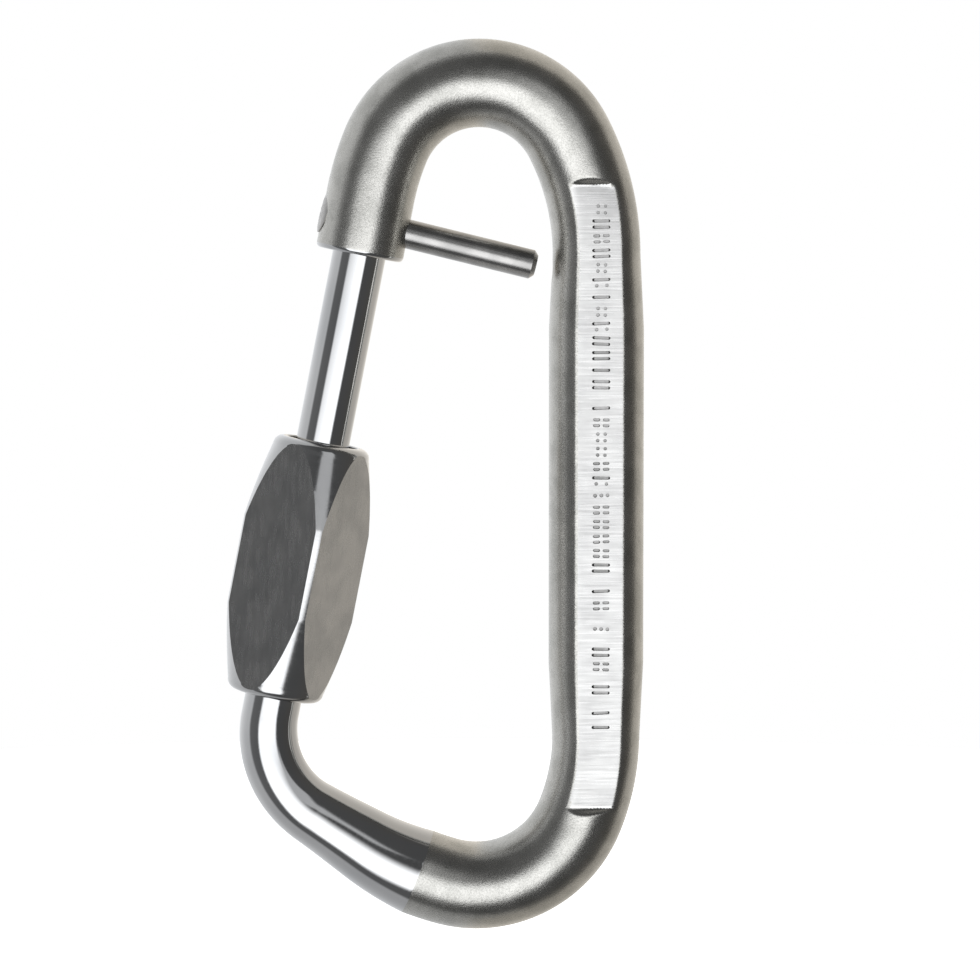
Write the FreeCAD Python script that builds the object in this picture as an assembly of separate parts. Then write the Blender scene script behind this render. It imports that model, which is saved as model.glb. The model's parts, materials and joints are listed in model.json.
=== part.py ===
import FreeCAD, Part
import math
import os

# A steel link with a screw sleeve and a captive cross pin.
# Frame: the link lies in the XZ plane, +Z up along the straight spine, and the stamped flat
# of the spine faces -Y. The origin is the centre of the top bow's bend. Millimetres, degrees.

# ---- Bar: one bent rod, from the socket over the top bow, down the spine, round the bottom
bar_d = 12.0
gate_tilt = 11.1            # lean of the gate axis from upright, top towards the spine
socket_run = 8.1            # straight end of the bar that holds the stud
shoulder_r, shoulder_turn = 36.0, 11.5        # gentle bend between socket and top bow
bow_r = 13.75               # centreline radius of the top bow
upper_ease_r, upper_ease_turn = 35.0, 27.0    # gentle bend between top bow and spine
spine_length = 65.9
lower_ease_r, lower_ease_turn = 30.0, 22.0    # gentle bend between spine and bottom bow
heel_r = 15.3               # centreline radius of the bottom bow
sole_r, sole_turn = 41.0, 17.0                # gentle bend between bottom bow and lower run
run_slope = 32.6            # climb of the lower run above level
elbow_r = 13.25
taper_length = 16.5         # turned taper on the lower run, back from the elbow
elbow_d = 8.7               # rod diameter where the elbow starts

# ---- Spine: coined, so it is flat in front and behind and a little wider than the bar
spine_bulge = 0.5           # added to each side
coin_blend = 10.0           # length over which the bar widens
coin_depth = 0.8
coin_top = 0.0              # height of the flat's upper end
coin_bottom_drop = 9.6      # how far the flat runs on below the straight spine
coin_end_slope = 0.8

# ---- Socket and cross pin
socket_depth = 8.5
socket_rim_round = 0.6
stud_d = 7.3
stud_clearance = 0.05
pin_d = 4.0
pin_height = 4.3            # from the socket's end face to the pin, along the gate axis
pin_slope = 13.8            # fall of the pin towards the spine
pin_gap = 2.2               # free tip of the pin to the spine
pin_tip_chamfer = 0.6
pin_head_d = 5.4            # peened head
pin_head_depth = 0.8
pin_head_crown = 0.25
dimple_d = 3.4
dimple_depth = 0.45

# ---- Thread of stud, sleeve and bar tip: plain cylinders, the outer at its crest, the inner at its root
thread_depth = 0.75
shank_step = 0.3            # thread root above the stud's plain shank
neck_step = 0.05            # thread root above the bar's neck
crest_clearance = 0.12
pilot_length = 0.8          # plain nose in front of a thread
pilot_step = 0.1            # nose below the thread's root
pilot_chamfer = 0.4

# ---- Sleeve
sleeve_length = 35.4
sleeve_mid_d = 17.5
across_flats = 13.0
flats_turn = -33.5          # a flat's normal from the front, towards the gate side
cone_angle = 11.5
cone_crown = 0.12           # how far the end cones swell past straight
lip_wall = 0.43
lip_round = 1.3
mouth_step = 0.1
rim_height = 0.6
neck_gap = 2.6              # elbow to the closed sleeve
tip_engagement = 10.0       # bar tip inside the closed sleeve
stud_engagement = 10.0      # stud inside the closed sleeve
mouth_recess = 1.5          # sleeve's end face to the start of a thread inside it

# ---- Sizes that follow
bar_r = bar_d / 2
thread_root_r = stud_d / 2 + shank_step
crest_r = thread_root_r + thread_depth
pilot_r = thread_root_r - pilot_step
groove_r = crest_r + crest_clearance
mouth_r = groove_r + mouth_step
neck_r = thread_root_r - neck_step
lip_r = mouth_r + lip_wall
sleeve_end_r = lip_r + lip_round

V = FreeCAD.Vector
Z = V(0, 0, 1)


def heading_vector(heading):
    """Unit vector in the XZ plane, heading in degrees above +X."""
    a = math.radians(heading)
    return V(math.cos(a), 0, math.sin(a))


class Bend:
    """A straight run, or an arc that turns clockwise as seen from the front."""

    def __init__(self, start, heading, length=0.0, radius=0.0, turn=0.0):
        self.start = start
        self.heading = heading
        self.radius = radius
        self.length = math.radians(turn) * radius if radius else length

    def heading_at(self, s):
        return self.heading - (math.degrees(s / self.radius) if self.radius else 0.0)

    def point_at(self, s):
        if not self.radius:
            return self.start + heading_vector(self.heading) * s
        centre = self.start + heading_vector(self.heading - 90) * self.radius
        return centre + heading_vector(self.heading_at(s) + 90) * self.radius

    def edge(self, a, b):
        if not self.radius:
            return Part.LineSegment(self.point_at(a), self.point_at(b)).toShape()
        return Part.Arc(self.point_at(a), self.point_at((a + b) / 2), self.point_at(b)).toShape()


def bar_route():
    """The bar's centreline as tangent runs and arcs, from the socket's face to the elbow's end."""
    start_heading = 90 - gate_tilt
    spine_heading = -90
    run_heading = -180 - run_slope
    bow_turn = start_heading - spine_heading - shoulder_turn - upper_ease_turn
    heel_turn = spine_heading - run_heading - lower_ease_turn - sole_turn
    bends = [("run", socket_run, 0), ("arc", shoulder_r, shoulder_turn), ("arc", bow_r, bow_turn),
             ("arc", upper_ease_r, upper_ease_turn), ("run", spine_length, 0),
             ("arc", lower_ease_r, lower_ease_turn), ("arc", heel_r, heel_turn),
             ("arc", sole_r, sole_turn)]
    # The walk is made twice: the first finds the top bow's centre, which becomes the origin.
    start = V(0, 0, 0)
    for attempt in range(2):
        point = start
        heading = start_heading
        route = []
        for kind, size, turn in bends:
            bend = Bend(point, heading, length=size) if kind == "run" \
                else Bend(point, heading, radius=size, turn=turn)
            route.append(bend)
            point = bend.point_at(bend.length)
            heading = bend.heading_at(bend.length)
        bow = route[2]
        start = start - (bow.start + heading_vector(bow.heading - 90) * bow.radius)
    # The lower run is as long as it must be for the elbow to end on the gate axis.
    along = heading_vector(heading)
    gate = heading_vector(start_heading)
    gap = route[0].start - point
    reach = (gap.z * gate.x - gap.x * gate.z) / (along.z * gate.x - along.x * gate.z)
    elbow_turn = heading - (start_heading - 360)
    run = Bend(point, heading, length=reach - elbow_r * math.tan(math.radians(elbow_turn / 2)))
    elbow = Bend(run.point_at(run.length), heading, radius=elbow_r, turn=elbow_turn)
    return route + [run, elbow]


route = bar_route()
route_length = sum(bend.length for bend in route)
spine_start = route[4].start
spine_x = spine_start.x
socket_face = route[0].start
elbow_end = route[-1].point_at(route[-1].length)
gate_up = heading_vector(90 - gate_tilt)
gate_span = (socket_face - elbow_end).Length      # elbow to socket, along the gate axis
sleeve_foot = neck_gap
sleeve_top = sleeve_foot + sleeve_length
tip_height = sleeve_foot + tip_engagement
stud_foot = sleeve_top - stud_engagement
stud_top = gate_span + socket_depth


def place_on_gate(shape):
    """Move a shape from upright on the origin to the gate axis, its base at the elbow's end."""
    lean = FreeCAD.Placement(elbow_end, FreeCAD.Rotation(V(0, 1, 0), gate_tilt))
    placed = shape.copy()
    placed.Placement = lean.multiply(shape.Placement)
    return placed


def where(s):
    """The bend at a distance along the route, and the distance into that bend."""
    for bend in route:
        if s <= bend.length or bend is route[-1]:
            return bend, s
        s -= bend.length


def rod_section(s, radius):
    bend, into = where(s)
    circle = Part.makeCircle(radius, bend.point_at(into), heading_vector(bend.heading_at(into)))
    return Part.Wire(circle)


def route_wire(a, b):
    edges = []
    begin = 0.0
    for bend in route:
        low = max(a - begin, 0.0)
        high = min(b - begin, bend.length)
        if high - low > 1e-6:
            edges.append(bend.edge(low, high))
        begin += bend.length
    return Part.Wire(edges)


def round_rod(a, b):
    return route_wire(a, b).makePipeShell([rod_section(a, bar_r)], True, False)


def tapered_rod(a, b, radius_a, radius_b):
    shell = Part.BRepOffsetAPI.MakePipeShell(route_wire(a, b))
    shell.setFrenetMode(False)
    shell.add(rod_section(a, radius_a))
    shell.add(rod_section(b, radius_b))
    shell.build()
    shell.makeSolid()
    return shell.shape()


def turned(points):
    """A solid of revolution about Z from (radius, height) points."""
    outline = Part.makePolygon([V(r, 0, h) for r, h in points + points[:1]])
    return Part.Face(outline).revolve(V(0, 0, 0), Z, 360)


def outer_thread(low, high):
    """Threaded stretch of a rod, at its crest."""
    return Part.makeCylinder(crest_r, high - low, Z * low)


def coined_spine():
    """Straight stretch of the bar, widened by the press. Its blends are lofts."""
    blend_top = spine_start.z
    blend_bottom = spine_start.z - spine_length
    wide = bar_r + spine_bulge

    def oval(z, half_width):
        centre = V(spine_x, 0, z)
        if half_width > bar_r:
            return Part.Wire(Part.Ellipse(centre, half_width, bar_r).toShape())
        return Part.Wire(Part.makeCircle(bar_r, centre))

    upper = Part.makeLoft([oval(blend_top, bar_r), oval(blend_top - coin_blend, wide)], True)
    lower = Part.makeLoft([oval(blend_bottom + coin_blend, wide), oval(blend_bottom, bar_r)], True)
    middle = Part.Face(oval(blend_bottom + coin_blend, wide)).extrude(
        Z * (spine_length - 2 * coin_blend))
    return [upper, middle, lower]


def coin_cutter(side):
    """Takes the flat off the front (side -1) or the back (side 1), with sloped end walls."""
    top = coin_top
    bottom = spine_start.z - spine_length - coin_bottom_drop
    floor = bar_r - coin_depth
    clear = bar_r + coin_depth
    slope = 2 * coin_end_slope
    outline = [V(0, side * floor, top), V(0, side * clear, top + slope),
               V(0, side * clear, bottom - slope), V(0, side * floor, bottom)]
    face = Part.Face(Part.makePolygon(outline + outline[:1]))
    face.translate(V(spine_x - bar_d, 0, 0))
    return face.extrude(V(2 * bar_d, 0, 0))


def half_width_at(z):
    """Half the bar's width across the spine at a height beside its upper blend."""
    share = (spine_start.z - z) / coin_blend
    return bar_r + spine_bulge * min(max(share, 0.0), 1.0)


pin_along = heading_vector(-pin_slope)
pin_cross = socket_face + gate_up * pin_height     # where the pin crosses the stud
pin_aim_z = pin_cross.z - (spine_x - bar_r - pin_cross.x) * math.tan(math.radians(pin_slope))
pin_aim_x = spine_x - half_width_at(pin_aim_z)
pin_inner = (pin_aim_x - pin_gap - pin_cross.x) / pin_along.x
pin_outer = bar_r + pin_head_crown                 # from the crossing to the head's crown


def place_on_pin(shape):
    """Move a shape from upright on the origin to the pin's axis, its base at the crossing."""
    lean = FreeCAD.Placement(pin_cross, FreeCAD.Rotation(V(0, 1, 0), 90 + pin_slope))
    placed = shape.copy()
    placed.Placement = lean.multiply(shape.Placement)
    return placed


def pin_seat():
    """The pin's hole through socket and stud, with the countersink that its head fills."""
    seat = -bar_r + pin_head_depth
    flare = (pin_head_d - pin_d) / 2 / pin_head_depth
    beyond = pin_head_crown + 1.0
    return place_on_pin(turned([(0, -bar_r - beyond), (pin_head_d / 2 + flare * beyond, -bar_r - beyond),
                                (pin_d / 2, seat), (pin_d / 2, bar_d), (0, bar_d)]))


def rim_edges(shape, centre, radius):
    """Circular edges of a given size about a point."""
    return [e for e in shape.Edges if isinstance(e.Curve, Part.Circle)
            and abs(e.Curve.Radius - radius) < 0.01
            and (e.Curve.Center - centre).Length < 0.01]


def make_body():
    """The bent bar: socket, top bow, coined spine, bottom bow, turned taper, neck and thread."""
    spine_begins = sum(bend.length for bend in route[:4])
    spine_ends = spine_begins + spine_length
    elbow_begins = route_length - route[-1].length
    taper_begins = elbow_begins - taper_length
    thread_low = sleeve_foot + mouth_recess
    thread_high = tip_height - pilot_length
    neck = Part.makeCylinder(neck_r, thread_low)
    nose = turned([(0, thread_high), (pilot_r, thread_high), (pilot_r, tip_height - pilot_chamfer),
                   (pilot_r - pilot_chamfer, tip_height), (0, tip_height)])
    pieces = coined_spine()
    pieces.append(round_rod(spine_ends, taper_begins))
    pieces.append(tapered_rod(taper_begins, elbow_begins, bar_r, elbow_d / 2))
    pieces.append(tapered_rod(elbow_begins, route_length, elbow_d / 2, neck_r))
    pieces += [place_on_gate(p) for p in (neck, outer_thread(thread_low, thread_high), nose)]
    bow = round_rod(0, spine_begins)
    bow = bow.makeFillet(socket_rim_round, rim_edges(bow, socket_face, bar_r))
    body = bow.fuse(pieces).removeSplitter()
    socket_bore = Part.makeCylinder(stud_d / 2 + stud_clearance, socket_depth + 1, V(0, 0, gate_span - 1))
    body = body.cut([coin_cutter(-1), coin_cutter(1), place_on_gate(socket_bore), pin_seat()])
    ball_r = ((dimple_d / 2) ** 2 + dimple_depth ** 2) / (2 * dimple_depth)
    dimple = Part.makeSphere(ball_r, V(pin_aim_x - ball_r + dimple_depth, 0, pin_aim_z))
    return body.cut(dimple)


def make_stud():
    """Turned stud: plain shank held in the socket by the pin, threaded at its lower end."""
    thread_top = sleeve_top - mouth_recess
    thread_low = stud_foot + pilot_length
    shank_r = stud_d / 2
    nose = turned([(0, stud_foot), (pilot_r - pilot_chamfer, stud_foot),
                   (pilot_r, stud_foot + pilot_chamfer), (pilot_r, thread_low), (0, thread_low)])
    shank = turned([(0, thread_top), (shank_r, thread_top), (shank_r, stud_top - pilot_chamfer),
                    (shank_r - pilot_chamfer, stud_top), (0, stud_top)])
    stud = outer_thread(thread_low, thread_top).fuse([nose, shank])
    return place_on_gate(stud).cut(pin_seat())


def make_cross_pin():
    """Drive pin, peened into the socket's outer side, its free end chamfered."""
    r = pin_d / 2
    head_r = pin_head_d / 2
    seat = -bar_r + pin_head_depth
    return place_on_pin(turned([(0, -pin_outer), (head_r - pin_head_crown, -pin_outer),
                                (head_r, -bar_r), (r, seat), (r, pin_inner - pin_tip_chamfer),
                                (r - pin_tip_chamfer, pin_inner), (0, pin_inner)]))


def sleeve_blank():
    """Turned spindle of the sleeve with its bore, wider at both mouths, base at height 0."""
    mid_r = sleeve_mid_d / 2
    cone = (mid_r - sleeve_end_r) / math.tan(math.radians(cone_angle))
    top = sleeve_length
    quarter = lip_round * math.sin(math.radians(45))
    centre_r = sleeve_end_r - lip_round

    def line(a, b):
        return Part.LineSegment(V(a[0], 0, a[1]), V(b[0], 0, b[1])).toShape()

    def arc(a, b, c):
        return Part.Arc(*[V(r, 0, h) for r, h in (a, b, c)]).toShape()

    def crowned(a, b):
        return arc(a, ((a[0] + b[0]) / 2 + cone_crown, (a[1] + b[1]) / 2), b)

    def lip(end, inward):
        flat = (centre_r, end)
        bulge = (centre_r + quarter, end + inward * (lip_round - quarter))
        side = (sleeve_end_r, end + inward * lip_round)
        return flat, bulge, side

    low_flat, low_bulge, low_side = lip(0, 1)
    top_flat, top_bulge, top_side = lip(top, -1)
    low_belly = (mid_r, lip_round + cone)
    top_belly = (mid_r, top - lip_round - cone)
    inside = [top_flat, (mouth_r, top), (mouth_r, top - mouth_recess), (groove_r, top - mouth_recess),
              (groove_r, mouth_recess), (mouth_r, mouth_recess), (mouth_r, 0), low_flat]
    edges = [arc(low_flat, low_bulge, low_side), crowned(low_side, low_belly),
             line(low_belly, top_belly), crowned(top_belly, top_side),
             arc(top_side, top_bulge, top_flat)]
    edges += [line(a, b) for a, b in zip(inside, inside[1:])]
    return Part.Face(Part.Wire(edges)).revolve(V(0, 0, 0), Z, 360)


def make_sleeve_and_rim():
    """The screw sleeve, and the round rim of its upper end as a ring of its own."""
    blank = sleeve_blank()
    split = sleeve_length - rim_height
    big = 2 * sleeve_mid_d
    above = Part.makeBox(big, big, big, V(-big / 2, -big / 2, split))
    square = Part.makeBox(across_flats, across_flats, sleeve_length,
                          V(-across_flats / 2, -across_flats / 2, 0))
    square.rotate(V(0, 0, 0), Z, flats_turn)
    sleeve = blank.cut(above).common(square)
    sleeve.translate(Z * sleeve_foot)
    rim = blank.common(above)
    rim.translate(Z * sleeve_foot)
    return place_on_gate(sleeve), place_on_gate(rim)


def export(shape, node):
    solid = shape.Solids[0] if len(shape.Solids) == 1 else shape
    print(node, "valid", solid.isValid(), "solids", len(shape.Solids), "mm3", round(solid.Volume, 1))
    solid.exportStep("parts/" + node + ".step")


os.makedirs("parts", exist_ok=True)
export(make_body(), "body")
export(make_stud(), "stud")
export(make_cross_pin(), "cross_pin")
sleeve, sleeve_rim = make_sleeve_and_rim()
export(sleeve, "sleeve")
export(sleeve_rim, "sleeve_rim")
print("gate span", round(gate_span, 2), "elbow end", elbow_end, "socket face", socket_face,
      "lower run", round(route[-2].length, 2), "pin", round(pin_outer + pin_inner, 2))
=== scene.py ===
import bmesh
import bpy
import json
import math
from mathutils import Matrix, Vector

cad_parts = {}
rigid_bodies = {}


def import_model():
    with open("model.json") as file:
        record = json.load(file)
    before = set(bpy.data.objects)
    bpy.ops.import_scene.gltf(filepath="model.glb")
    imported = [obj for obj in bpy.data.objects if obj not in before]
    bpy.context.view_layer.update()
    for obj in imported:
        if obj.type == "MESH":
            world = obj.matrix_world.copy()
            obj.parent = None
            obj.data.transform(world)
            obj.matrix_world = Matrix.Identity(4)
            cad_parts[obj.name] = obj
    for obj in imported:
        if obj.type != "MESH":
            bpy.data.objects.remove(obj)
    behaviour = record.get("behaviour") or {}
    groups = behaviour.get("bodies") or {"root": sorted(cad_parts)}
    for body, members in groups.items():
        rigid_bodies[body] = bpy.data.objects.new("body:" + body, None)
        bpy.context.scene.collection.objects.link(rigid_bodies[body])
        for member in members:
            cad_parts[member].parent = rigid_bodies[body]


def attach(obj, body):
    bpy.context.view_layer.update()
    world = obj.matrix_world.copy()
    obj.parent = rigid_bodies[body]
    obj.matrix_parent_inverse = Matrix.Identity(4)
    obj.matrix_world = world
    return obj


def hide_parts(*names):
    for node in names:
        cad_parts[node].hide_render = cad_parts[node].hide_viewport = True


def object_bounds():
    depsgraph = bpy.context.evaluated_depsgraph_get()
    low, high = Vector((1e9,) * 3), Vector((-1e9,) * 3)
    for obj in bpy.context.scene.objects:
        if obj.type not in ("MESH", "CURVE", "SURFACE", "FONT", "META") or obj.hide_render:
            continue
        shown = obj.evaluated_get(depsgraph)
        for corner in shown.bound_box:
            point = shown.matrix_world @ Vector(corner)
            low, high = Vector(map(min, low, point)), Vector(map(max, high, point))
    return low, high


# Nothing from the start-up file belongs to the scene.
for leftover in list(bpy.data.objects):
    bpy.data.objects.remove(leftover)
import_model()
cad_box = [list(corner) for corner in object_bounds()]

# ---- Bar ------------------------------------------------------------------------------
# One stainless rod, 12 mm thick, bent to a long loop. Its upper end is bored as a socket, the
# spine is coined flat in front and behind, and the lower end is turned down, polished and
# threaded. The rest is tumbled to a fine matt grain. Lengths here are millimetres.
bar_r = 6.0
gate_tilt = 11.1
socket_run = 8.1
bow_bends = [(36.0, 11.5), (13.75, None), (35.0, 27.0)]
spine_length = 65.9
heel_bends = [(30.0, 22.0), (15.3, None), (41.0, 17.0)]
run_slope = 32.6
elbow_r = 13.25
elbow_rod_r = 4.35
taper_length = 16.5
taper_ease = 0.16
spine_bulge = 0.5
coin_blend = 10.0
coin_depth = 0.8
coin_top = 0.0
coin_bottom_drop = 9.6
coin_edge_round = 0.2
coin_lean = 0.05            # the front flat lies deeper by this towards the spine's outer side
coin_end_lean = 0.06        # and by this more for each millimetre that the bar has bent inwards
socket_depth = 8.5
socket_rim_round = 0.6
bore_r = 3.7
thread_root_r = 3.95
thread_depth = 0.75
thread_pitch = 1.5
neck_r = 3.9
nose_r = 3.85
nose_length = 0.8
nose_chamfer = 0.4
sleeve_foot = 2.6
sleeve_length = 35.4
mouth_recess = 1.5
thread_hold = 10.0          # how far the bar's tip and the stud each reach into the sleeve
tip_height = sleeve_foot + thread_hold
MM = 0.001


def heading_vector(heading):
    """Unit vector in the plane of the loop, heading in degrees above +X."""
    a = math.radians(heading)
    return Vector((math.cos(a), 0, math.sin(a)))


class Bend:
    """A straight run, or an arc that turns clockwise as seen from the front."""

    def __init__(self, start, heading, length=0.0, radius=0.0, turn=0.0):
        self.start = start
        self.heading = heading
        self.radius = radius
        self.length = math.radians(turn) * radius if radius else length

    def heading_at(self, s):
        return self.heading - (math.degrees(s / self.radius) if self.radius else 0.0)

    def point_at(self, s):
        if not self.radius:
            return self.start + heading_vector(self.heading) * s
        centre = self.start + heading_vector(self.heading - 90) * self.radius
        return centre + heading_vector(self.heading_at(s) + 90) * self.radius


def bar_route():
    """The bar's centreline, from the socket's face to the elbow's end on the gate axis.

    The first lap finds where the bow's centre falls, and the second starts so that it is the origin.
    """
    gate_heading = 90 - gate_tilt
    run_heading = -180 - run_slope
    bow_turn = gate_heading + 90 - bow_bends[0][1] - bow_bends[2][1]
    heel_turn = -90 - run_heading - heel_bends[0][1] - heel_bends[2][1]
    start = Vector((0, 0, 0))
    for lap in range(2):
        point = start
        heading = gate_heading
        route = []
        for radius, size in ([(0, socket_run)] + [(r, t or bow_turn) for r, t in bow_bends]
                             + [(0, spine_length)] + [(r, t or heel_turn) for r, t in heel_bends]):
            bend = Bend(point, heading, length=size, radius=radius, turn=size)
            route.append(bend)
            point = bend.point_at(bend.length)
            heading = bend.heading_at(bend.length)
        bow = route[2]
        start = start - (bow.start + heading_vector(bow.heading - 90) * bow.radius)
    along = heading_vector(heading)
    gate = heading_vector(gate_heading)
    gap = route[0].start - point
    reach = (gap.z * gate.x - gap.x * gate.z) / (along.z * gate.x - along.x * gate.z)
    elbow_turn = heading - (gate_heading - 360)
    run = Bend(point, heading, length=reach - elbow_r * math.tan(math.radians(elbow_turn / 2)))
    elbow = Bend(run.point_at(run.length), heading, radius=elbow_r, turn=elbow_turn)
    return route + [run, elbow]


route = bar_route()
route_length = sum(bend.length for bend in route)
spine_begins = sum(bend.length for bend in route[:4])
elbow_begins = route_length - route[-1].length
taper_begins = elbow_begins - taper_length
spine_start = route[4].start
spine_x = spine_start.x
coin_bottom = spine_start.z - spine_length - coin_bottom_drop
socket_face = route[0].start
elbow_end = route[-1].point_at(route[-1].length)
gate_up = heading_vector(90 - gate_tilt)
gate_span = (socket_face - elbow_end).length
gate_turn = Matrix.Rotation(math.radians(gate_tilt), 4, "Y")
gate_place = Matrix.Translation(elbow_end) @ gate_turn
mesh_on_gate = Matrix.Translation(elbow_end * MM) @ gate_turn


def where(s):
    """The point and heading at a distance along the bar."""
    for bend in route:
        if s <= bend.length or bend is route[-1]:
            return bend.point_at(s), bend.heading_at(s)
        s -= bend.length


def rod_radius(s):
    """The turned taper runs down to the elbow, eases out of its slope, and goes on to the neck."""
    if s < taper_begins:
        return bar_r
    fall = (bar_r - elbow_rod_r) * (elbow_begins - s) / taper_length
    eased = taper_ease * math.log(1 + math.exp(fall / taper_ease))
    beyond = max(s - elbow_begins, 0.0) / route[-1].length
    return elbow_rod_r + (neck_r - elbow_rod_r) * beyond + eased


def spine_widening(s):
    """The press spreads the spine sideways, blending in at both its ends."""
    share = min(s - spine_begins, spine_begins + spine_length - s) / coin_blend
    return spine_bulge * min(max(share, 0.0), 1.0)


def coined(p, middle):
    """Where the press leaves a point of the bar: flat floor, ends sloped at 45 degrees."""
    beyond = max(p.z - coin_top, coin_bottom - p.z, 0.0)
    limit = bar_r - coin_depth + beyond
    if p.y < 0:
        lean = coin_lean + coin_end_lean * (spine_x - middle)
        limit -= lean * (p.x - middle) * max(1.0 - beyond, 0.0)
    depth = abs(p.y)
    blend = max(coin_edge_round - abs(depth - limit), 0.0) / coin_edge_round
    return math.copysign(min(depth, limit) - blend * blend * coin_edge_round / 4, p.y)


def ring_angles():
    """Angles round the bar from its front, close together where the flats' edges fall."""
    flat_steps = 7
    side_steps = 11
    edge_spread = (-2.2, -1.0, 0, 1.0, 2.2)
    edge = math.degrees(math.acos((bar_r - coin_depth) / bar_r))
    clear = edge + 4.5
    front = [edge * (step / flat_steps) for step in range(1 - flat_steps, flat_steps)]
    front += [side * (edge + off) for side in (-1, 1) for off in edge_spread]
    side = [clear + (90 - clear) * step / side_steps for step in range(side_steps + 1)]
    quarter = side + [180 - a for a in side[:-1]]
    half = front + quarter + [-a for a in quarter]
    return sorted(set(round(a % 360, 3) for a in half + [180 + a for a in front]))


angles = [math.radians(a) for a in ring_angles()]


def bar_ring(s):
    """A ring round the bar, pressed flat in front and behind on the spine's side of the loop."""
    point, heading = where(s)
    across = heading_vector(heading - 90)
    r = rod_radius(s)
    wide = r + spine_widening(s)
    ring = [point + across * (wide * math.sin(a)) + Vector((0, -r * math.cos(a), 0)) for a in angles]
    if point.x > 0 and s < taper_begins:
        for p in ring:
            p.y = coined(p, point.x)
    return ring


def local_ring(r, h):
    """A ring about an upright axis, at the same angles as the bar's rings."""
    return [Vector((r * math.sin(a), -r * math.cos(a), h)) for a in angles]


def stations():
    """Distances along the bar for its rings, closer together at the ends of the flats."""
    step_length = 0.5
    fine_step = 0.1
    slope_middle = 0.4
    fine_zone = 1.0
    bent_zone = 2.5            # longer at the lower end, where the rings tilt with the bend
    last_gap = 0.3
    places = [socket_rim_round]
    while places[-1] < route_length - last_gap:
        s = places[-1]
        middle = where(s)[0]
        near_top = abs(middle.z - coin_top - slope_middle) < fine_zone
        near_bottom = abs(middle.z - coin_bottom + slope_middle) < bent_zone
        fine = (near_top or near_bottom) and s < taper_begins and middle.x > 0
        places.append(s + (fine_step if fine else step_length))
    places[-1] = route_length
    boundary = min(places, key=lambda s: abs(s - taper_begins))
    places[places.index(boundary)] = taper_begins
    return places


def skin(mesh_name, rings, caps=(True, True)):
    """Faces between rings of equal count, with a UV map: round the ring, and along it."""
    sampled = 8
    bm = bmesh.new()
    uv = bm.loops.layers.uv.new("along")
    rows = [[bm.verts.new(p * MM) for p in ring] for ring in rings]
    count = len(rings[0])
    run = 0.0
    for low, high in zip(range(len(rings) - 1), range(1, len(rings))):
        gaps = [(rings[high][i] - rings[low][i]).length for i in range(0, count, sampled)]
        step = sum(gaps) / (count // sampled)
        for i in range(count):
            j = (i + 1) % count
            face = bm.faces.new((rows[low][i], rows[low][j], rows[high][j], rows[high][i]))
            for loop, corner in zip(face.loops, ((i, 0), (i + 1, 0), (i + 1, 1), (i, 1))):
                loop[uv].uv = (corner[0] / count, (run + step * corner[1]) * MM)
        run += step
    for wanted, row in zip(caps, (rows[0], rows[-1])):
        if wanted:
            bm.faces.new(row)
    bmesh.ops.recalc_face_normals(bm, faces=bm.faces)
    mesh = bpy.data.meshes.new(mesh_name)
    bm.to_mesh(mesh)
    bm.free()
    return mesh


def piece(name, mesh, materials):
    """A scene object for a mesh, with its finishes in order."""
    obj = bpy.data.objects.new(name, mesh)
    bpy.context.scene.collection.objects.link(obj)
    mesh.materials.clear()
    for material in materials:
        mesh.materials.append(material)
    return obj


def crisp(mesh, angle=24):
    """Smooth faces that meet at less than the angle, and leave the other edges sharp."""
    bm = bmesh.new()
    bm.from_mesh(mesh)
    bmesh.ops.remove_doubles(bm, verts=bm.verts, dist=1e-7)
    bmesh.ops.dissolve_degenerate(bm, edges=bm.edges, dist=1e-8)
    bmesh.ops.recalc_face_normals(bm, faces=bm.faces)
    for face in bm.faces:
        face.smooth = True
    for edge in bm.edges:
        edge.smooth = edge.calc_face_angle(0) < math.radians(angle)
    bm.to_mesh(mesh)
    bm.free()


def evaluated(obj):
    """The object's mesh with its modifiers taken in."""
    bpy.context.view_layer.update()
    shown = obj.evaluated_get(bpy.context.evaluated_depsgraph_get())
    mesh = bpy.data.meshes.new_from_object(shown)
    obj.modifiers.clear()
    return mesh


def cut(obj, cutter, operation="DIFFERENCE"):
    """Cuts one piece with another, which is then thrown away."""
    tool = obj.modifiers.new("cut", "BOOLEAN")
    tool.operation = operation
    tool.solver = "EXACT"
    tool.object = cutter
    obj.data = evaluated(obj)
    bpy.data.objects.remove(cutter)


def input_value(modifier, tree, name, value):
    """Sets a modifier's input by the identifier of the tree's socket of that name."""
    for item in tree.interface.items_tree:
        if item.item_type == "SOCKET" and item.in_out == "INPUT" and item.name == name:
            modifier[item.identifier] = value


def maths(tree, operation, a, b=None, clamp=False):
    """A Math node in a tree, fed by numbers or by other nodes' outputs."""
    node = tree.nodes.new("ShaderNodeMath")
    node.operation = operation
    node.use_clamp = clamp
    for socket, value in zip(node.inputs, (a, b)):
        if isinstance(value, bpy.types.NodeSocket):
            tree.links.new(value, socket)
        elif value is not None:
            socket.default_value = value
    return node.outputs[0]


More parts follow.
